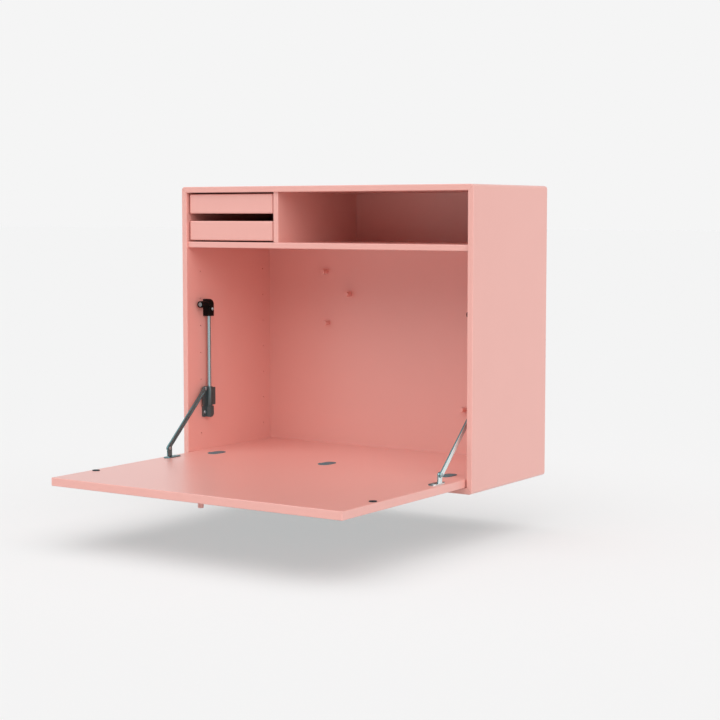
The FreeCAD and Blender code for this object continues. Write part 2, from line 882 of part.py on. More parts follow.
def make_foot(side):
    """The fitting at the rod's lower end: a block round the rod and a thin plate in front of it."""
    plate = board(
        f"{side}_foot_plate",
        ("foot_plate_thick", "foot_front", "foot_tall"),
        (beside_wall(side, "0", "foot_plate_thick"), FOOT_Y, FOOT_Z),
        "fin_round",
        lambda across, along, up: along == 0 and across == 0.5,
    )
    block = board(
        f"{side}_foot_block",
        (FOOT_THICK, "foot_block_deep", "foot_tall"),
        (beside_wall(side, "0", FOOT_THICK), f"{ROD_Y} - foot_block_front", FOOT_Z),
        "foot_round",
        lambda across, along, up: along == 1 and up == 0,
    )
    bore = rod_bore(side, f"{FOOT_Z} + rod_seat", "foot_tall - rod_seat + overrun")
    seat, length = stay_screw_seats(side)[1]
    hole = pilot(f"{side}_foot_pilot", seat, wallward(side), length)
    node(cut(f"{side}_foot", fuse(f"{side}_foot_blank", plate, block), bore, hole), f"{side}_rod_foot")


def make_stay_screws():
    """The screws that fix the rod holders and feet to the sides."""
    screws = [
        screw(f"{side}_stay_screw", seat, wallward(side), length)
        for side in SIDES
        for seat, length in stay_screw_seats(side)
    ]
    node(group("stay_screw_set", screws), "stay_screws")


def make_slider(side):
    """The slider on the rod: a barrel with an ear for the arm, a fin behind and a bush inside."""
    axis_x = at_wall(side, "rod_from_wall")
    barrel = cylinder(f"{side}_barrel", BARREL_RADIUS, "slider_tall", (axis_x, ROD_Y, SLIDER_UNDER))
    ear_y = f"({PIVOT_Y} - ear_front)"
    ear_deep = f"({ROD_Y} - {ear_y})"
    ear_tall = f"({PIVOT_Z} + ear_top_rise - {SLIDER_UNDER})"
    ear = board(
        f"{side}_ear",
        ("ear_thick", ear_deep, ear_tall),
        (beside_wall(side, "ear_wall_gap", "ear_wall_gap + ear_thick"), ear_y, SLIDER_UNDER),
        "ear_round",
        lambda across, along, up: along == 0 and across == 0.5,
    )
    lip_high = f"({ear_tall} - 2 * ear_round)"
    lip = box(
        f"{side}_ear_lip",
        (f"{EAR_FACE} - ear_wall_gap", "ear_lip", lip_high),
        (beside_wall(side, "ear_wall_gap", EAR_FACE), ear_y, f"{SLIDER_UNDER} + ear_round"),
    )
    pad = cylinder(
        f"{side}_pivot_pad",
        "rivet_head_radius",
        f"{EAR_FACE} - ear_wall_gap",
        (at_wall(side, EAR_FACE), PIVOT_Y, PIVOT_Z),
        wallward(side),
    )
    fin = board(
        f"{side}_fin",
        ("fin_thick", f"{BARREL_RADIUS} + fin_length - rod_radius", "slider_tall - 2 * fin_round"),
        (
            beside_wall(side, f"rod_from_wall - fin_thick / 2", f"rod_from_wall + fin_thick / 2"),
            f"{ROD_Y} + rod_radius",
            f"{SLIDER_UNDER} + fin_round",
        ),
        "fin_round",
        lambda across, along, up: along == 1,
    )
    whole = fuse(f"{side}_slider_blank", barrel, ear, lip, pad, fin)
    bore = cylinder(
        f"{side}_bush_bore",
        f"{BUSH_RADIUS} + fit_play",
        "slider_tall + 2 * overrun",
        (axis_x, ROD_Y, f"{SLIDER_UNDER} - overrun"),
    )
    hole = cylinder(
        f"{side}_pivot_hole",
        "rivet_radius + fit_play",
        f"{EAR_FACE} + overrun",
        (at_wall(side, f"{EAR_FACE} + overrun"), PIVOT_Y, PIVOT_Z),
        wallward(side),
    )
    node(cut(f"{side}_slider_bored", whole, bore, hole), f"{side}_slider")
    bush = cylinder(f"{side}_bush_blank", BUSH_RADIUS, "slider_tall", (axis_x, ROD_Y, SLIDER_UNDER))
    way = rod_bore(side, f"{SLIDER_UNDER} - overrun", "slider_tall + 2 * overrun")
    node(cut(f"{side}_bush", bush, way), f"{side}_slider_bush")


def make_arm(side):
    """The flat arm between bracket and slider, made upright on its lower pivot and then leaned back."""
    rise = f"({PIVOT_Z} - {LUG_Z})"
    run = f"({PIVOT_Y} - {LUG_Y})"
    span = f"sqrt(({rise}) ^ 2 + ({run}) ^ 2)"
    bar = box(f"{side}_bar", ("arm_thick", "arm_width", span), ("0", "-arm_width / 2", "0"))
    ends = []
    holes = []
    for up in ("0", span):
        ends.append(cylinder(f"{side}_arm_end", "arm_width / 2", "arm_thick", ("0", "0", up), "+X"))
        start = ("-overrun", "0", up)
        holes.append(
            cylinder(
                f"{side}_arm_hole", "rivet_radius + fit_play", "arm_thick + 2 * overrun", start, "+X"
            )
        )
    low = "-overrun" if side == "right" else "arm_thick - arm_groove_depth"
    groove = box(
        f"{side}_arm_groove",
        ("arm_groove_depth + overrun", "arm_groove_width", f"{span} - 2 * arm_width"),
        (low, "-arm_groove_width / 2", "arm_width"),
    )
    arm = cut(f"{side}_arm_bar", fuse(f"{side}_arm_blank", bar, *ends), *holes, groove)
    head = "-X" if side == "right" else "+X"
    seat = ("0" if side == "right" else "arm_thick", "0", span)
    crown = cylinder(f"{side}_rivet_crown", "rivet_head_radius", "rivet_head", seat, head)
    shank_length = "arm_gap - rivet_clear + arm_thick + rivet_head / 2"
    start = stepped(seat, head, "rivet_head / 2")
    shank = cylinder(f"{side}_rivet_shank", "rivet_radius", shank_length, start, opposite(head))
    rivet = fuse(f"{side}_upper_rivet", crown, shank)
    lean = -math.degrees(math.atan2(value(run), value(rise)))
    turn = FreeCAD.Rotation(AXES["+X"], lean)
    far = beside_wall(side, ARM_FROM_WALL, f"{ARM_FROM_WALL} + arm_thick")
    for item, label in ((arm, f"{side}_arm"), (rivet, f"{side}_arm_rivet")):
        place(item, (far, LUG_Y, LUG_Z))
        item.Placement = FreeCAD.Placement(item.Placement.Base, turn)
        node(item, label)


def make_bracket(side):
    """The bracket on the flap: a rounded foot with a lug beside the arm. Returns the rivet through both."""
    half = "bracket_width / 2"
    inner = f"({LUG_FROM_WALL} + bracket_width)"
    straight = "(bracket_length - bracket_width)"
    foot_x = beside_wall(side, LUG_FROM_WALL, inner)
    middle_x = at_wall(side, f"{LUG_FROM_WALL} + {half}")
    bar = box(
        f"{side}_bracket_bar",
        ("bracket_width", straight, "bracket_thick"),
        (foot_x, f"{LUG_Y} - {straight} / 2", FLAP_TOP),
    )
    ends = [
        cylinder(
            f"{side}_bracket_end",
            half,
            "bracket_thick",
            (middle_x, f"{LUG_Y} {sign} {straight} / 2", FLAP_TOP),
        )
        for sign in "+-"
    ]
    lug = board(
        f"{side}_lug",
        ("lug_thick", "lug_width", f"bracket_rise + {LUG_ROUND}"),
        (
            beside_wall(side, LUG_FROM_WALL, f"{LUG_FROM_WALL} + lug_thick"),
            f"{LUG_Y} - lug_width / 2",
            FLAP_TOP,
        ),
        LUG_ROUND,
        lambda across, along, up: along in (0, 1) and up == 1,
    )
    whole = fuse(f"{side}_bracket_blank", bar, *ends, lug)
    axis_start = at_wall(side, f"{LUG_FROM_WALL} + lug_thick")
    hole = cylinder(
        f"{side}_lug_hole",
        "rivet_radius + fit_play",
        "lug_thick + 2 * overrun",
        stepped((axis_start, LUG_Y, LUG_Z), opposite(wallward(side)), "overrun"),
        wallward(side),
    )
    pilots = [pilot(f"{side}_foot_hole", seat, "-Z", "bracket_thick") for seat in bracket_screw_seats(side)]
    node(cut(f"{side}_bracket", whole, hole, *pilots), f"{side}_flap_bracket")
    outward = wallward(side)
    seat = (axis_start, LUG_Y, LUG_Z)
    crown = cylinder(f"{side}_low_crown", "rivet_head_radius", "rivet_head", seat, opposite(outward))
    through = "(lug_thick + arm_thick + 2 * side_play)"
    start = stepped(seat, opposite(outward), "rivet_head / 2")
    shank = cylinder(f"{side}_low_shank", "rivet_radius", f"{through} + rivet_head", start, outward)
    tail = cylinder(
        f"{side}_low_tail", "rivet_head_radius", "rivet_head", stepped(seat, outward, through), outward
    )
    return fuse(f"{side}_lower_rivet", crown, shank, tail)


def make_stays():
    """Both stays, from the rods to the brackets on the flap."""
    magnets = []
    rivets = []
    for side in SIDES:
        make_rod(side)
        magnets.append(make_holder(side))
        make_foot(side)
        make_slider(side)
        make_arm(side)
        rivets.append(make_bracket(side))
    make_stay_screws()
    node(group("magnet_set", magnets), "catch_magnets")
    node(group("rivet_set", rivets), "bracket_rivets")
    screws = [
        screw(f"{side}_bracket_screw", seat, "-Z", f"bracket_thick + {SCREW_LENGTH}")
        for side in SIDES
        for seat in bracket_screw_seats(side)
    ]
    node(group("bracket_screw_set", screws), "bracket_screws")


def tray_floors():
    """Each tray's name and the height of its underside."""
    return {"upper_tray": f"({ROOF} - tray_gap - {TRAY_HEIGHT})", "lower_tray": f"({SHELF_TOP} + tray_gap)"}


def make_tray(name, low):
    """A shallow open box: a front, two grooved sides, a back and a base between them."""
    left = f"(tray_gap - {WALL})"
    width = "(bay_width - 2 * tray_gap)"
    front_y = f"({FRONT} + tray_setback)"
    inside_y = f"({front_y} + tray_front)"
    long = f"({TRAY_LENGTH} - tray_front)"
    front = board(
        f"{name}_front_board",
        (width, "tray_front", TRAY_HEIGHT),
        (left, front_y, low),
        "tray_round",
        all_but_back,
    )
    node(front, f"{name}_front")
    for side in SIDES:
        at = left if side == "left" else f"({left} + {width} - tray_wall)"
        wall = board(f"{name}_{side}_board", ("tray_wall", long, TRAY_HEIGHT), (at, inside_y, low))
        groove_x = f"{left} - overrun" if side == "left" else f"{left} + {width} - {GROOVE_DEPTH}"
        groove = box(
            f"{name}_{side}_groove",
            (f"{GROOVE_DEPTH} + overrun", f"{long} + 2 * overrun", GROOVE_HEIGHT),
            (groove_x, f"{inside_y} - overrun", f"{low} + groove_rise"),
        )
        node(cut(f"{name}_{side}_grooved", wall, groove), f"{name}_{side}")
    clear_x = f"{left} + tray_wall"
    clear = f"({width} - 2 * tray_wall)"
    back = board(
        f"{name}_back_board",
        (clear, "tray_wall", TRAY_HEIGHT),
        (clear_x, f"{inside_y} + {long} - tray_wall", low),
    )
    node(back, f"{name}_back")
    base = board(
        f"{name}_base_board", (clear, f"{long} - tray_wall", "tray_base"), (clear_x, inside_y, low)
    )
    node(base, f"{name}_base")


def make_runners():
    """The strips on the side and the divider that the trays' grooves run on."""
    runners = []
    wide = "(tray_gap + runner_reach)"
    start = f"({FRONT} + tray_setback + tray_front + runner_inset)"
    length = f"{BACK} - runner_back_gap - {start}"
    for name, low in tray_floors().items():
        up = f"{low} + groove_rise + {GROOVE_HEIGHT} - side_play - runner_height"
        for at in (f"-{WALL}", f"{DIVIDER_X} - {wide}"):
            runners.append(box(f"{name}_runner", (wide, length, "runner_height"), (at, start, up)))
    node(group("runner_set", runners), "tray_runners")


def make_trays():
    """Both trays and their runners."""
    for name, low in tray_floors().items():
        make_tray(name, low)
    make_runners()


def check_and_write():
    """Stop at any object that failed, then write each sub-part to its own file."""
    doc.recompute()
    failed = [item.Label for item in doc.Objects if {"Invalid", "Error"} & set(item.State)]
    failed += [item.Label for item in nodes if item.Shape.isNull() or not item.Shape.isValid()]
    if failed:
        raise RuntimeError(f"these objects failed: {failed}")
    os.makedirs("parts", exist_ok=True)
    for item in nodes:
        item.Shape.exportStep(os.path.join("parts", f"{item.Label}.step"))
        print(item.Label, len(item.Shape.Solids), round(item.Shape.Volume, 1))


make_cabinet_panels()
make_inner_boards()
make_pegs()
make_hangers()
make_hinges()
make_flap()
make_stays()
make_trays()
check_and_write()
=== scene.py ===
import json
import math

import bmesh
import bpy
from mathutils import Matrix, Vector


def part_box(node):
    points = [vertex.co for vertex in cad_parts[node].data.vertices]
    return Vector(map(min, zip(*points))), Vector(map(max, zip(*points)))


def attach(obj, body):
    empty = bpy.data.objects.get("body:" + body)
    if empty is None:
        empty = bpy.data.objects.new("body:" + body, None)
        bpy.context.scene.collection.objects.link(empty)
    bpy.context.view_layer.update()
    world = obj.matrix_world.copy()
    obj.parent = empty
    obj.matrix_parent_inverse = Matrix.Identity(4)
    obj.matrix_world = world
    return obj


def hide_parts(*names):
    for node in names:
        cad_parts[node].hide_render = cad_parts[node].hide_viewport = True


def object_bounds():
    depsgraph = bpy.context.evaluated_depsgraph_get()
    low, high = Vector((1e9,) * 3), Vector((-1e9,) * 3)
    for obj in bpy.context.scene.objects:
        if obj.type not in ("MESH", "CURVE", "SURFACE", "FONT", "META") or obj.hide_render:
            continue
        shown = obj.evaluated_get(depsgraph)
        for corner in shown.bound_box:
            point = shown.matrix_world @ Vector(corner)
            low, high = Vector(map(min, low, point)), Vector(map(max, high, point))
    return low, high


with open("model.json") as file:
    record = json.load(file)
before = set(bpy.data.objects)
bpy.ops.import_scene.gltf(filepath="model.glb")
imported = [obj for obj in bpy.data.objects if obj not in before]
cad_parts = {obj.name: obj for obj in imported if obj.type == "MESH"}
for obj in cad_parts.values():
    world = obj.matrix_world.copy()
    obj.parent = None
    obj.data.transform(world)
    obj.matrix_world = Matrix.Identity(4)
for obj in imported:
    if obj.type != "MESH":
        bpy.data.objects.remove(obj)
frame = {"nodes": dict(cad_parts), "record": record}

cad_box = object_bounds()

# Sizes are in metres unless a name says otherwise.
MM = 0.001
BODIES = frame["record"]["behaviour"]["bodies"]
BODY_OF = {node: body for body, nodes in BODIES.items() for node in nodes}
SLOT_OF = {entry["node"]: entry["material_slot"] for entry in frame["record"]["subparts"]}

# Camera: the photograph's place, turn to the left, drop below level, and lens on a 36 mm frame.
CAMERA_PLACE = (1.9027, -3.0185, -0.0148)
CAMERA_TURN_DEGREES = 33.564
CAMERA_DROP_DEGREES = 4.939
CAMERA_LENS_MM = 84.19

# Studio: a pale floor a little below the cabinet, a pale backdrop and a dim room in front of it.
BACKGROUND = "#F5F5F5"
ROOM_LEVEL = 0.2
# How far a direction points backwards where the dim room ends and where the backdrop begins.
ROOM_ENDS = -0.4
BACKDROP_BEGINS = 0.2
FLOOR_DROP = 0.1
FLOOR_HALF = 60.0
FLOOR_PAINT = "#C0B5B4"
FLOOR_GLOW = "#A7B3B4"
FLOOR_BOUNCE = "#E0E0E0"
# The lamp over the floor, and the lamps on the object.
# Each has degrees to the right of straight on, degrees up, spread in degrees, and strength.
FLOOR_LAMP = (60.0, 84.0, 100.0, 3.1)
LAMPS = {
    "right_side": (80.0, 15.0, 60.0, 1.66),
    "front_high": (-15.0, 45.0, 60.0, 1.27),
    "front_right": (45.0, 40.0, 60.0, 0.75),
    "front_left": (-45.0, 35.0, 60.0, 0.58),
    "overhead": (0.0, 80.0, 60.0, 0.2),
}

# Lacquer: two near tones that cloud slowly, an orange peel and a clear coat.
LACQUER_TONES = ("#EDAA9F", "#F0ADA2")
CLOUD_MM = 90
CLOUD_DETAIL = 3.0
PEEL_MM = 2.2
PEEL_LIFT_MM = 0.2
PEEL_STRENGTH = 0.08
LACQUER_ROUGHNESS = (0.46, 0.54)
LACQUER_IOR = 1.5
LACQUER_GLOSS = 1.0
COAT_WEIGHT = 1.0
COAT_ROUGHNESS = 0.35
# The filled joint of the mitred corners shows as a hairline on the cabinet's front edges.
MITRE_TONE = "#CB8478"
MITRE_LINE_MM = 0.6
FRONT_EDGE_MM = 0.6

# Finishes of the hardware: the record's slots, and two more that some nodes have of their own.
# Grain is along X, Y and Z. Grain finer than 1 mm is drawn coarser than it is, so that it shows.
HARDWARE = {
    # Chrome on drawn bar gives a mirror that fine lines along the bar break up.
    "chrome": {
        "name": "chrome_plate_on_drawn_steel",
        "colours": ("#9CB6BC", "#AFC6CB"),
        "edge": "#9FB4B8",
        "metallic": 0.85,
        "roughness": (0.1, 0.18),
        "grain_mm": (0.8, 0.8, 60),
        "lift_mm": 0.004,
    },
    # Nickel on brushed strip gives lines that lean with the open arm. Faces that look outwards get pale
    # tones, a painted reflection that stands in for a bright mirror, and faces that look inwards get a
    # dull grey, which is painted shade.
    "nickel": {
        "name": "nickel_plate_on_brushed_steel",
        "colours": ("#E0EAEA", "#ECF3F3"),
        "inward_painted_shade": "#698F94",
        "edge": "#C9D6D8",
        "metallic": 0.85,
        "roughness": (0.14, 0.24),
        "grain_mm": (0.8, 45, 0.8),
        "lift_mm": 0.006,
        "lean_degrees": 42.8,
    },
    # Tumbled zinc casting gives a dark, slightly grainy grey with soft highlights.
    "dark_zinc": {
        "name": "blackened_zinc_casting",
        "colours": ("#546365", "#606F71"),
        "edge": "#5A686A",
        "metallic": 0.55,
        "roughness": (0.26, 0.36),
        "grain_mm": (1.2, 1.2, 1.2),
        "lift_mm": 0.02,
    },
    # Zinc with a grey passivation gives the hinges an even, dull bluish grey.
    "grey_zinc": {
        "name": "grey_passivated_zinc",
        "colours": ("#52767D", "#5C8087"),
        "edge": "#8FA3A6",
        "metallic": 0.1,
        "roughness": (0.42, 0.52),
        "grain_mm": (1.6, 1.6, 1.6),
        "lift_mm": 0.01,
        "gloss": 0.2,
    },
    # Steel blackened by an oxide gives the strike discs a deep bluish black with a soft sheen.
    "black_steel": {
        "name": "black_oxide_on_steel",
        "colours": ("#243F46", "#2E4950"),
        "edge": "#425157",
        "metallic": 0.6,
        "roughness": (0.3, 0.4),
        "grain_mm": (1.2, 1.2, 1.2),
        "lift_mm": 0.01,
        "gloss": 0.3,
    },
    # Bright zinc plate gives a pale bluish grey that clouds a little from place to place.
    "zinc_plated_steel": {
        "name": "bright_zinc_plate_on_steel",
        "colours": ("#9DABAF", "#AFBBBE"),
        "edge": "#93A4A8",
        "metallic": 0.7,
        "roughness": (0.26, 0.4),
        "grain_mm": (3, 3, 3),
        "lift_mm": 0.004,
    },
    # A nickel coated magnet gives a dull even mirror with faint handling marks.
    "magnet": {
        "name": "nickel_coated_magnet",
        "colours": ("#8F9FA2", "#9DACAE"),
        "edge": "#86979A",
        "metallic": 0.7,
        "roughness": (0.24, 0.36),
        "grain_mm": (1.5, 1.5, 1.5),
        "lift_mm": 0.004,
    },
    # Moulded nylon gives a deep black with the fine even texture of an eroded mould.
    "black_plastic": {
        "name": "moulded_black_nylon",
        "colours": ("#050606", "#080909"),
        "edge": "#FFFFFF",
        "metallic": 0.0,
        "roughness": (0.42, 0.55),
        "grain_mm": (0.9, 0.9, 0.9),
        "lift_mm": 0.03,
        "gloss": 0.12,
    },
}
FINE_DETAIL = 2.0
GRAIN_STRENGTH = 0.5
# How squarely a face looks outwards where the pale tones painted as a reflection end and where the grey
# painted as shade begins.
PAINTED_REFLECTION_ENDS = 0.9
PAINTED_SHADE_BEGINS = 0.3

# Nodes with a finish of their own.
OWN_FINISHES = {
    "hinge_floor_leaves": "grey_zinc",
    "hinge_flap_leaves": "grey_zinc",
    "strike_discs": "black_steel",
}

# Edges of the pressed and cast pieces, broken by a small round of this width in millimetres.
SOFT_EDGES_MM = {
    "left_rod_holder": 0.7,
    "right_rod_holder": 0.7,
    "left_rod_foot": 0.5,
    "right_rod_foot": 0.5,
    "left_slider": 0.4,
    "right_slider": 0.4,
    "left_arm": 0.25,
    "right_arm": 0.25,
    "left_flap_bracket": 0.3,
    "right_flap_bracket": 0.3,
    "left_arm_rivet": 0.45,
    "right_arm_rivet": 0.45,
    "bracket_rivets": 0.45,
    "hinge_floor_leaves": 0.25,
    "hinge_flap_leaves": 0.25,
    "strike_discs": 0.3,
    "catch_magnets": 0.3,
    "hanger_plates": 0.3,
}
ROUND_SEGMENTS = 2
ROUND_PROFILE = 0.5
SHARP_DEGREES = 30.0
FLAT_DEGREES = 1.0
WELD_MM = 0.001

# Screws, by node: the height of the domed head in millimetres.
SCREW_HEADS_MM = {"stay_screws": 2.0, "bracket_screws": 0.9, "hanger_screws": 1.8}
SCREW_SIZES_MM = {
    "Head radius": 3.4,
    "Shank radius": 1.45,
    "Socket radius": 1.6,
    "Socket depth": 0.8,
}
# The share of a shank that lies inside the head.
SHANK_LAP = 0.004
# Points of a CAD screw beyond this share of its widest radius belong to its head.
HEAD_SHARE = 0.7
HEAD_SEGMENTS = 40
HEAD_RINGS = 20
SHANK_SIDES = 24
KEY_SIDES = 6
# The block that keeps a head's upper half.
BLOCK_MM = 20


def linear(hex_colour):
    """An sRGB hex colour as linear light with full alpha."""
    parts = [int(hex_colour[i : i + 2], 16) / 255 for i in (1, 3, 5)]
    light = [p / 12.92 if p <= 0.04045 else ((p + 0.055) / 1.055) ** 2.4 for p in parts]
    return (*light, 1.0)


def add(tree, kind, inputs=None, **settings):
    """A new node with its settings, and its inputs set to values or linked to outputs."""
    node = tree.nodes.new(kind)
    for name, value in settings.items():
        setattr(node, name, value)
    for name, value in (inputs or {}).items():
        for item in value if isinstance(value, list) else [value]:
            if isinstance(item, bpy.types.NodeSocket):
                tree.links.new(item, node.inputs[name])
            else:
                node.inputs[name].default_value = item
    return node


def finish_named(name):
    """An empty material and its tree."""
    material = bpy.data.materials.new(name)
    material.use_nodes = True
    tree = material.node_tree
    tree.nodes.clear()
    return material, tree


def per_metre(millimetres):
    """The texture scale that gives features of a real size."""
    return 1 / (millimetres * MM)


def mitre_line(tree, place):
    """One on the joint lines across the cabinet's front corners, and zero elsewhere."""
    low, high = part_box("left_side")
    half_width = -low.x
    half_height = (high.z - low.z) / 2
    centre = (0, 0, (high.z + low.z) / 2)
    out = add(tree, "ShaderNodeVectorMath", {0: place, 1: centre}, operation="SUBTRACT").outputs[0]
    out = add(tree, "ShaderNodeVectorMath", {0: out}, operation="ABSOLUTE").outputs[0]
    out = add(tree, "ShaderNodeSeparateXYZ", {0: out}).outputs
    apart = {0: out["X"], 1: out["Z"]}
    apart = add(tree, "ShaderNodeMath", apart, operation="SUBTRACT").outputs[0]
    on_line = {0: apart, 1: half_width - half_height, 2: MITRE_LINE_MM * MM / 2}
    on_line = add(tree, "ShaderNodeMath", on_line, operation="COMPARE").outputs[0]
    in_corner = {0: out["X"], 1: -high.x}
    in_corner = add(tree, "ShaderNodeMath", in_corner, operation="GREATER_THAN").outputs[0]
    at_front = {0: out["Y"], 1: -low.y - FRONT_EDGE_MM * MM}
    at_front = add(tree, "ShaderNodeMath", at_front, operation="GREATER_THAN").outputs[0]
    corner = {0: in_corner, 1: at_front}
    corner = add(tree, "ShaderNodeMath", corner, operation="MULTIPLY").outputs[0]
    line = {0: on_line, 1: corner}
    return add(tree, "ShaderNodeMath", line, operation="MULTIPLY").outputs[0]


def satin_lacquer():
    """Pink satin lacquer sprayed on MDF.

    The spray levels to an even colour under a clear coat with a soft gloss, and a faint orange
    peel breaks up its reflections. Filler under the lacquer leaves a hairline along the mitred
    corners.
    """
    material, tree = finish_named("satin_lacquer_on_mdf")
    place = add(tree, "ShaderNodeTexCoord").outputs["Object"]
    peel = {"Vector": place, "Scale": per_metre(PEEL_MM), "Detail": FINE_DETAIL}
    peel = add(tree, "ShaderNodeTexNoise", peel).outputs["Fac"]
    cloud = {"Vector": place, "Scale": per_metre(CLOUD_MM), "Detail": CLOUD_DETAIL}
    cloud = add(tree, "ShaderNodeTexNoise", cloud).outputs["Fac"]
    colour = {0: cloud, 6: linear(LACQUER_TONES[0]), 7: linear(LACQUER_TONES[1])}
    colour = add(tree, "ShaderNodeMix", colour, data_type="RGBA").outputs[2]
    lined = {0: mitre_line(tree, place), 6: colour, 7: linear(MITRE_TONE)}
    lined = add(tree, "ShaderNodeMix", lined, data_type="RGBA").outputs[2]
    gloss = {"Value": peel, "To Min": LACQUER_ROUGHNESS[0], "To Max": LACQUER_ROUGHNESS[1]}
    gloss = add(tree, "ShaderNodeMapRange", gloss).outputs["Result"]
    bump = {"Height": peel, "Strength": PEEL_STRENGTH, "Distance": PEEL_LIFT_MM * MM}
    bump = add(tree, "ShaderNodeBump", bump).outputs["Normal"]
    shader = add(
        tree,
        "ShaderNodeBsdfPrincipled",
        {
            "Base Color": lined,
            "Roughness": gloss,
            "Normal": bump,
            "IOR": LACQUER_IOR,
            "Specular IOR Level": LACQUER_GLOSS,
            "Coat Weight": COAT_WEIGHT,
            "Coat Roughness": COAT_ROUGHNESS,
        },
    )
    add(tree, "ShaderNodeOutputMaterial", {"Surface": shader.outputs["BSDF"]})
    return material


def painted_shade_facing_inwards(tree, place):
    """Zero on faces that look away from the object's middle plane, and one on the others, where a grey
    is painted as shade.
    """
    normal = add(tree, "ShaderNodeNewGeometry").outputs["Normal"]
    side = add(tree, "ShaderNodeSeparateXYZ", {0: place}).outputs["X"]
    side = add(tree, "ShaderNodeMath", {0: side}, operation="SIGN").outputs[0]
    out = add(tree, "ShaderNodeSeparateXYZ", {0: normal}).outputs["X"]
    out = add(tree, "ShaderNodeMath", {0: side, 1: out}, operation="MULTIPLY").outputs[0]
    span = {"Value": out, "From Min": PAINTED_REFLECTION_ENDS, "From Max": PAINTED_SHADE_BEGINS}
    return add(tree, "ShaderNodeMapRange", span).outputs["Result"]


def hardware_finish(
    name,
    colours,
    edge,
    metallic,
    roughness,
    grain_mm,
    lift_mm,
    lean_degrees=0.0,
    gloss=0.5,
    inward_painted_shade=None,
):
    """Two near tones and a range of gloss, spread by a grain of real size that stands up a little."""
    material, tree = finish_named(name)
    place = add(tree, "ShaderNodeTexCoord").outputs["Object"]
    grained = {
        "Vector": place,
        "Rotation": (math.radians(lean_degrees), 0, 0),
        "Scale": tuple(size * MM for size in grain_mm),
    }
    grained = add(tree, "ShaderNodeMapping", grained, vector_type="TEXTURE").outputs[0]
    grain = {"Vector": grained, "Scale": 1.0, "Detail": FINE_DETAIL}
    grain = add(tree, "ShaderNodeTexNoise", grain).outputs["Fac"]
    colour = {0: grain, 6: linear(colours[0]), 7: linear(colours[1])}
    colour = add(tree, "ShaderNodeMix", colour, data_type="RGBA").outputs[2]
    # Faces that look inwards get a darker grey as painted shade, and the tones of faces that look
    # outwards stand in for a reflection.
    if inward_painted_shade:
        colour = {0: painted_shade_facing_inwards(tree, place), 6: colour, 7: linear(inward_painted_shade)}
        colour = add(tree, "ShaderNodeMix", colour, data_type="RGBA").outputs[2]
    polish = {"Value": grain, "To Min": roughness[0], "To Max": roughness[1]}
    polish = add(tree, "ShaderNodeMapRange", polish).outputs["Result"]
    bump = {"Height": grain, "Strength": GRAIN_STRENGTH, "Distance": lift_mm * MM}
    bump = add(tree, "ShaderNodeBump", bump).outputs["Normal"]
    shader = add(
        tree,
        "ShaderNodeBsdfPrincipled",
        {
            "Base Color": colour,
            "Metallic": metallic,
            "Roughness": polish,
            "Normal": bump,
            "Specular IOR Level": gloss,
            "Specular Tint": linear(edge),
        },
    )
    add(tree, "ShaderNodeOutputMaterial", {"Surface": shader.outputs["BSDF"]})
    return material


def finish_of(node, finishes):
    """A node's own finish, or else its material slot's."""
    return finishes[OWN_FINISHES.get(node, SLOT_OF[node])]


def dress(finishes):
    """Each CAD node gets its finish."""
    for node in SLOT_OF:
        piece = frame["nodes"][node]
        piece.data.materials.clear()
        piece.data.materials.append(finish_of(node, finishes))


def merged(node):
    """A copy of a CAD node's mesh with its triangles joined."""
    mesh = bmesh.new()
    mesh.from_mesh(frame["nodes"][node].data)
    bmesh.ops.remove_doubles(mesh, verts=mesh.verts, dist=WELD_MM * MM)
    return mesh


def stand_in(piece, node):
    """The piece takes a CAD node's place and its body."""
    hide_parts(node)
    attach(piece, BODY_OF[node])


def soft_edged(node, width_mm, finishes):
    """A CAD node again, its sharp edges broken as pressing, casting or moulding leaves them."""
    shape = merged(node)
    flat = math.radians(FLAT_DEGREES)
    sharp = math.radians(SHARP_DEGREES)
    bmesh.ops.dissolve_limit(shape, angle_limit=flat, verts=shape.verts, edges=shape.edges)
    bmesh.ops.bevel(
        shape,
        geom=[e for e in shape.edges if e.is_manifold and e.calc_face_angle() > sharp],
        offset=width_mm * MM,
        offset_type="OFFSET",
        segments=ROUND_SEGMENTS,
        profile=ROUND_PROFILE,
        affect="EDGES",
        clamp_overlap=True,
    )
    mesh = bpy.data.meshes.new(f"{node}_soft_edged")
    shape.to_mesh(mesh)
    shape.free()
    mesh.shade_smooth()
    mesh.set_sharp_from_angle(angle=sharp)
    mesh.materials.append(finish_of(node, finishes))
    piece = bpy.data.objects.new(f"{node}_soft_edged", mesh)
    bpy.context.scene.collection.objects.link(piece)
    stand_in(piece, node)


def solids_of(node):
    """The points of each separate solid in a CAD node, in the same order on each run."""
    mesh = merged(node)
    left = dict.fromkeys(mesh.verts)
    solids = []
    while left:
        queue = [left.popitem()[0]]
        points = []
        while queue:
            corner = queue.pop()
            points.append(corner.co.copy())
            for edge in corner.link_edges:
                near = edge.other_vert(corner)
                if near in left:
                    del left[near]
                    queue.append(near)
        solids.append(points)
    mesh.free()
    return solids


def screw_places(node):
    """Each CAD screw's seat under the head, the way its head faces, and its shank's length."""
    seats, ways, shanks = [], [], []
    for points in solids_of(node):
        low = Vector(min(p[i] for p in points) for i in range(3))
        high = Vector(max(p[i] for p in points) for i in range(3))
        along = max(range(3), key=lambda i: high[i] - low[i])
        across = [i for i in range(3) if i != along]
        middle = (low + high) / 2
        rim = HEAD_SHARE * (high - low)[across[0]] / 2
        outer = [p for p in points if math.hypot(*(p[i] - middle[i] for i in across)) > rim]
        head = [p[along] for p in outer]
        up = 1.0 if sum(head) / len(head) > middle[along] else -1.0
        way = Vector((0, 0, 0))
        way[along] = up
        seat = middle.copy()
        seat[along] = min(head) if up > 0 else max(head)
        seats.append(seat)
        ways.append(way)
        shanks.append(seat[along] - low[along] if up > 0 else high[along] - seat[along])
    return seats, ways, shanks


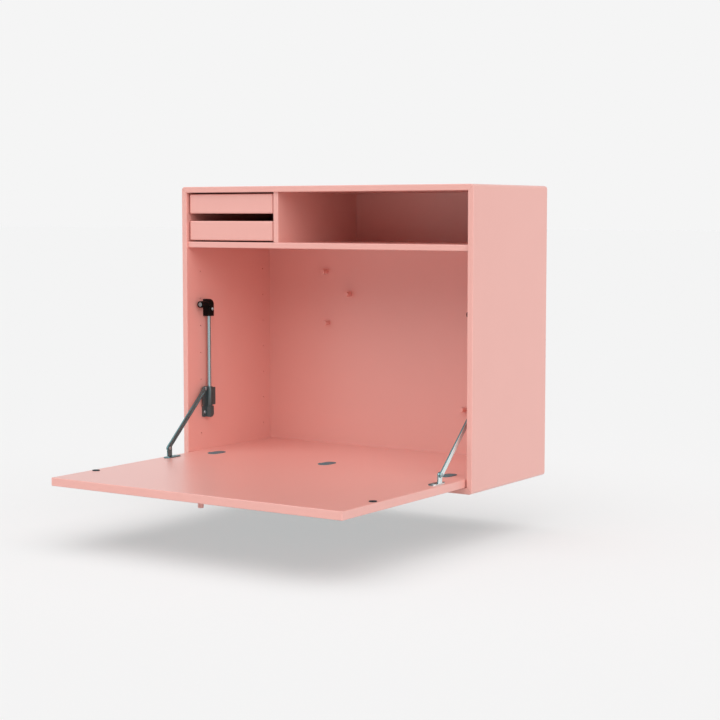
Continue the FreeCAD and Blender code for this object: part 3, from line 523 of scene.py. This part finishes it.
def screw_tree(material):
    """Domed socket head screws on points, each turned the way its point faces."""
    tree = bpy.data.node_groups.new("domed_screws", "GeometryNodeTree")
    tree.interface.new_socket("Seats", in_out="INPUT", socket_type="NodeSocketGeometry")
    for size in ("Head height", *SCREW_SIZES_MM):
        tree.interface.new_socket(size, in_out="INPUT", socket_type="NodeSocketFloat")
    tree.interface.new_socket("Screws", in_out="OUTPUT", socket_type="NodeSocketGeometry")
    given = add(tree, "NodeGroupInput").outputs

    # The head is the upper half of a flattened ball.
    ball = {"Segments": HEAD_SEGMENTS, "Rings": HEAD_RINGS, "Radius": 1.0}
    ball = add(tree, "GeometryNodeMeshUVSphere", ball).outputs[0]
    flat = {"X": given["Head radius"], "Y": given["Head radius"], "Z": given["Head height"]}
    flat = add(tree, "ShaderNodeCombineXYZ", flat).outputs[0]
    dome = add(tree, "GeometryNodeTransform", {"Geometry": ball, "Scale": flat}).outputs[0]
    side = BLOCK_MM * MM
    block = add(tree, "GeometryNodeMeshCube", {"Size": (side, side, side)}).outputs[0]
    block = {"Geometry": block, "Translation": (0, 0, side / 2)}
    block = add(tree, "GeometryNodeTransform", block).outputs[0]
    cap = {"Mesh 2": [dome, block]}
    cap = add(tree, "GeometryNodeMeshBoolean", cap, operation="INTERSECT").outputs[0]

    # A hexagon key's socket is sunk in its top.
    depth = {0: given["Socket depth"], 1: 2.0}
    depth = add(tree, "ShaderNodeMath", depth, operation="MULTIPLY").outputs[0]
    key = {"Vertices": KEY_SIDES, "Radius": given["Socket radius"], "Depth": depth}
    key = add(tree, "GeometryNodeMeshCylinder", key).outputs[0]
    top = add(tree, "ShaderNodeCombineXYZ", {"Z": given["Head height"]}).outputs[0]
    key = add(tree, "GeometryNodeTransform", {"Geometry": key, "Translation": top}).outputs[0]
    head = {"Mesh 1": cap, "Mesh 2": [key]}
    head = add(tree, "GeometryNodeMeshBoolean", head, operation="DIFFERENCE").outputs[0]

    # A bar of unit length is stretched to each shank's length.
    bar = {"Vertices": SHANK_SIDES, "Radius": given["Shank radius"], "Depth": 1.0}
    bar = add(tree, "GeometryNodeMeshCylinder", bar).outputs[0]
    bar = {"Geometry": bar, "Translation": (0, 0, SHANK_LAP - 0.5)}
    bar = add(tree, "GeometryNodeTransform", bar).outputs[0]
    length = {"Name": "shank"}
    length = add(tree, "GeometryNodeInputNamedAttribute", length, data_type="FLOAT").outputs[0]
    stretch = {"X": 1.0, "Y": 1.0, "Z": length}
    stretch = add(tree, "ShaderNodeCombineXYZ", stretch).outputs[0]

    facing = {"Name": "facing"}
    facing = add(tree, "GeometryNodeInputNamedAttribute", facing, data_type="FLOAT_VECTOR").outputs[0]
    turn = add(tree, "FunctionNodeAlignRotationToVector", {"Vector": facing}, axis="Z").outputs[0]
    heads = {"Points": given["Seats"], "Instance": head, "Rotation": turn}
    heads = add(tree, "GeometryNodeInstanceOnPoints", heads).outputs[0]
    heads = add(tree, "GeometryNodeRealizeInstances", {"Geometry": heads}).outputs[0]
    shanks = {"Points": given["Seats"], "Instance": bar, "Rotation": turn, "Scale": stretch}
    shanks = add(tree, "GeometryNodeInstanceOnPoints", shanks).outputs[0]
    shanks = add(tree, "GeometryNodeRealizeInstances", {"Geometry": shanks}).outputs[0]
    whole = {"Mesh 2": [heads, shanks]}
    whole = add(tree, "GeometryNodeMeshBoolean", whole, operation="UNION").outputs[0]
    whole = {"Geometry": whole, "Material": material}
    whole = add(tree, "GeometryNodeSetMaterial", whole).outputs[0]
    add(tree, "NodeGroupOutput", {"Screws": whole})
    return tree


def domed_screws(node, head_mm, tree):
    """Screws with domed heads and hexagon sockets, in the places of the CAD screws."""
    seats, ways, shanks = screw_places(node)
    mesh = bpy.data.meshes.new(f"{node}_seats")
    mesh.from_pydata(seats, [], [])
    facing = mesh.attributes.new("facing", "FLOAT_VECTOR", "POINT")
    for item, way in zip(facing.data, ways):
        item.vector = way
    mesh.attributes.new("shank", "FLOAT", "POINT").data.foreach_set("value", shanks)
    piece = bpy.data.objects.new(f"{node}_domed", mesh)
    bpy.context.scene.collection.objects.link(piece)
    sizes = {"Head height": head_mm * MM}
    sizes.update({name: size * MM for name, size in SCREW_SIZES_MM.items()})
    maker = piece.modifiers.new("screws", "NODES")
    maker.node_group = tree
    for item in tree.interface.items_tree:
        if item.name in sizes:
            maker[item.identifier] = sizes[item.name]
    ready = piece.evaluated_get(bpy.context.evaluated_depsgraph_get())
    piece.data = bpy.data.meshes.new_from_object(ready)
    piece.modifiers.clear()
    piece.data.shade_smooth()
    piece.data.set_sharp_from_angle(angle=math.radians(SHARP_DEGREES))
    stand_in(piece, node)


def studio_world():
    """A pale backdrop for the eye, and a studio for gloss, pale behind the cabinet and dim in front."""
    world = bpy.data.worlds.new("studio")
    bpy.context.scene.world = world
    world.use_nodes = True
    tree = world.node_tree
    tree.nodes.clear()
    path = add(tree, "ShaderNodeLightPath").outputs
    way = add(tree, "ShaderNodeTexCoord").outputs["Generated"]
    backwards = add(tree, "ShaderNodeSeparateXYZ", {0: way}).outputs["Y"]
    level = {
        "Value": backwards,
        "From Min": ROOM_ENDS,
        "From Max": BACKDROP_BEGINS,
        "To Min": ROOM_LEVEL,
        "To Max": 1.0,
    }
    level = add(tree, "ShaderNodeMapRange", level).outputs[0]
    shown = {0: path["Is Glossy Ray"], 1: level}
    shown = add(tree, "ShaderNodeMath", shown, operation="MULTIPLY").outputs[0]
    shown = {0: shown, 1: path["Is Camera Ray"]}
    shown = add(tree, "ShaderNodeMath", shown, operation="MAXIMUM").outputs[0]
    backdrop = {"Color": linear(BACKGROUND), "Strength": shown}
    backdrop = add(tree, "ShaderNodeBackground", backdrop).outputs[0]
    add(tree, "ShaderNodeOutputWorld", {"Surface": backdrop})


def studio_floor():
    """A pale floor below the cabinet that shows the object's soft shadow."""
    material, tree = finish_named("pale_floor")
    path = add(tree, "ShaderNodeLightPath").outputs
    seen = {0: path["Is Camera Ray"], 1: path["Is Glossy Ray"]}
    seen = add(tree, "ShaderNodeMath", seen, operation="MAXIMUM").outputs[0]
    paint = {0: path["Is Diffuse Ray"], 6: linear(FLOOR_PAINT), 7: linear(FLOOR_BOUNCE)}
    paint = add(tree, "ShaderNodeMix", paint, data_type="RGBA").outputs[2]
    coat = add(tree, "ShaderNodeBsdfDiffuse", {"Color": paint}).outputs[0]
    glow = {"Color": linear(FLOOR_GLOW), "Strength": seen}
    glow = add(tree, "ShaderNodeEmission", glow).outputs[0]
    lit = add(tree, "ShaderNodeAddShader", {0: coat, 1: glow}).outputs[0]
    under = add(tree, "ShaderNodeBsdfTransparent").outputs[0]
    below = add(tree, "ShaderNodeNewGeometry").outputs["Backfacing"]
    both = add(tree, "ShaderNodeMixShader", {0: below, 1: lit, 2: under}).outputs[0]
    add(tree, "ShaderNodeOutputMaterial", {"Surface": both})
    low = cad_box[0].z - FLOOR_DROP
    half = FLOOR_HALF
    mesh = bpy.data.meshes.new("floor")
    corners = [(-half, -half, low), (half, -half, low), (half, half, low), (-half, half, low)]
    mesh.from_pydata(corners, [], [(0, 1, 2, 3)])
    mesh.materials.append(material)
    floor = bpy.data.objects.new("floor", mesh)
    bpy.context.scene.collection.objects.link(floor)
    return floor


def studio_lamps(floor):
    """Wide soft lamps, far off: one casts the shadow on the floor, the others spare the floor."""
    lit_floor = bpy.data.collections.new("lit_floor")
    lit_floor.objects.link(floor)
    spared_floor = bpy.data.collections.new("spared_floor")
    spared_floor.objects.link(floor)
    spared_floor.collection_objects[0].light_linking.link_state = "EXCLUDE"
    for name, (turn, up, spread, strength) in {"over_floor": FLOOR_LAMP, **LAMPS}.items():
        lamp = bpy.data.lights.new(name, "SUN")
        lamp.energy = strength
        lamp.angle = math.radians(spread)
        turn, up = math.radians(turn), math.radians(up)
        level = math.cos(up)
        source = Vector((math.sin(turn) * level, -math.cos(turn) * level, math.sin(up)))
        holder = bpy.data.objects.new(name, lamp)
        holder.rotation_euler = source.to_track_quat("Z", "Y").to_euler()
        holder.light_linking.receiver_collection = spared_floor if name in LAMPS else lit_floor
        bpy.context.scene.collection.objects.link(holder)


def photo_camera():
    """The camera at the photograph's place."""
    camera = bpy.data.cameras.new("camera")
    camera.lens = CAMERA_LENS_MM
    camera.clip_end = 4 * FLOOR_HALF
    holder = bpy.data.objects.new("camera", camera)
    holder.location = CAMERA_PLACE
    tilt = math.radians(90 - CAMERA_DROP_DEGREES)
    holder.rotation_euler = (tilt, 0, math.radians(CAMERA_TURN_DEGREES))
    bpy.context.scene.collection.objects.link(holder)
    bpy.context.scene.camera = holder


bpy.context.scene.view_settings.view_transform = "Standard"
finishes = {"pink_lacquer": satin_lacquer()}
finishes.update({slot: hardware_finish(**finish) for slot, finish in HARDWARE.items()})
dress(finishes)
for node, width_mm in SOFT_EDGES_MM.items():
    soft_edged(node, width_mm, finishes)
screws = screw_tree(finishes["zinc_plated_steel"])
for node, head_mm in SCREW_HEADS_MM.items():
    domed_screws(node, head_mm, screws)
studio_world()
studio_lamps(studio_floor())
photo_camera()
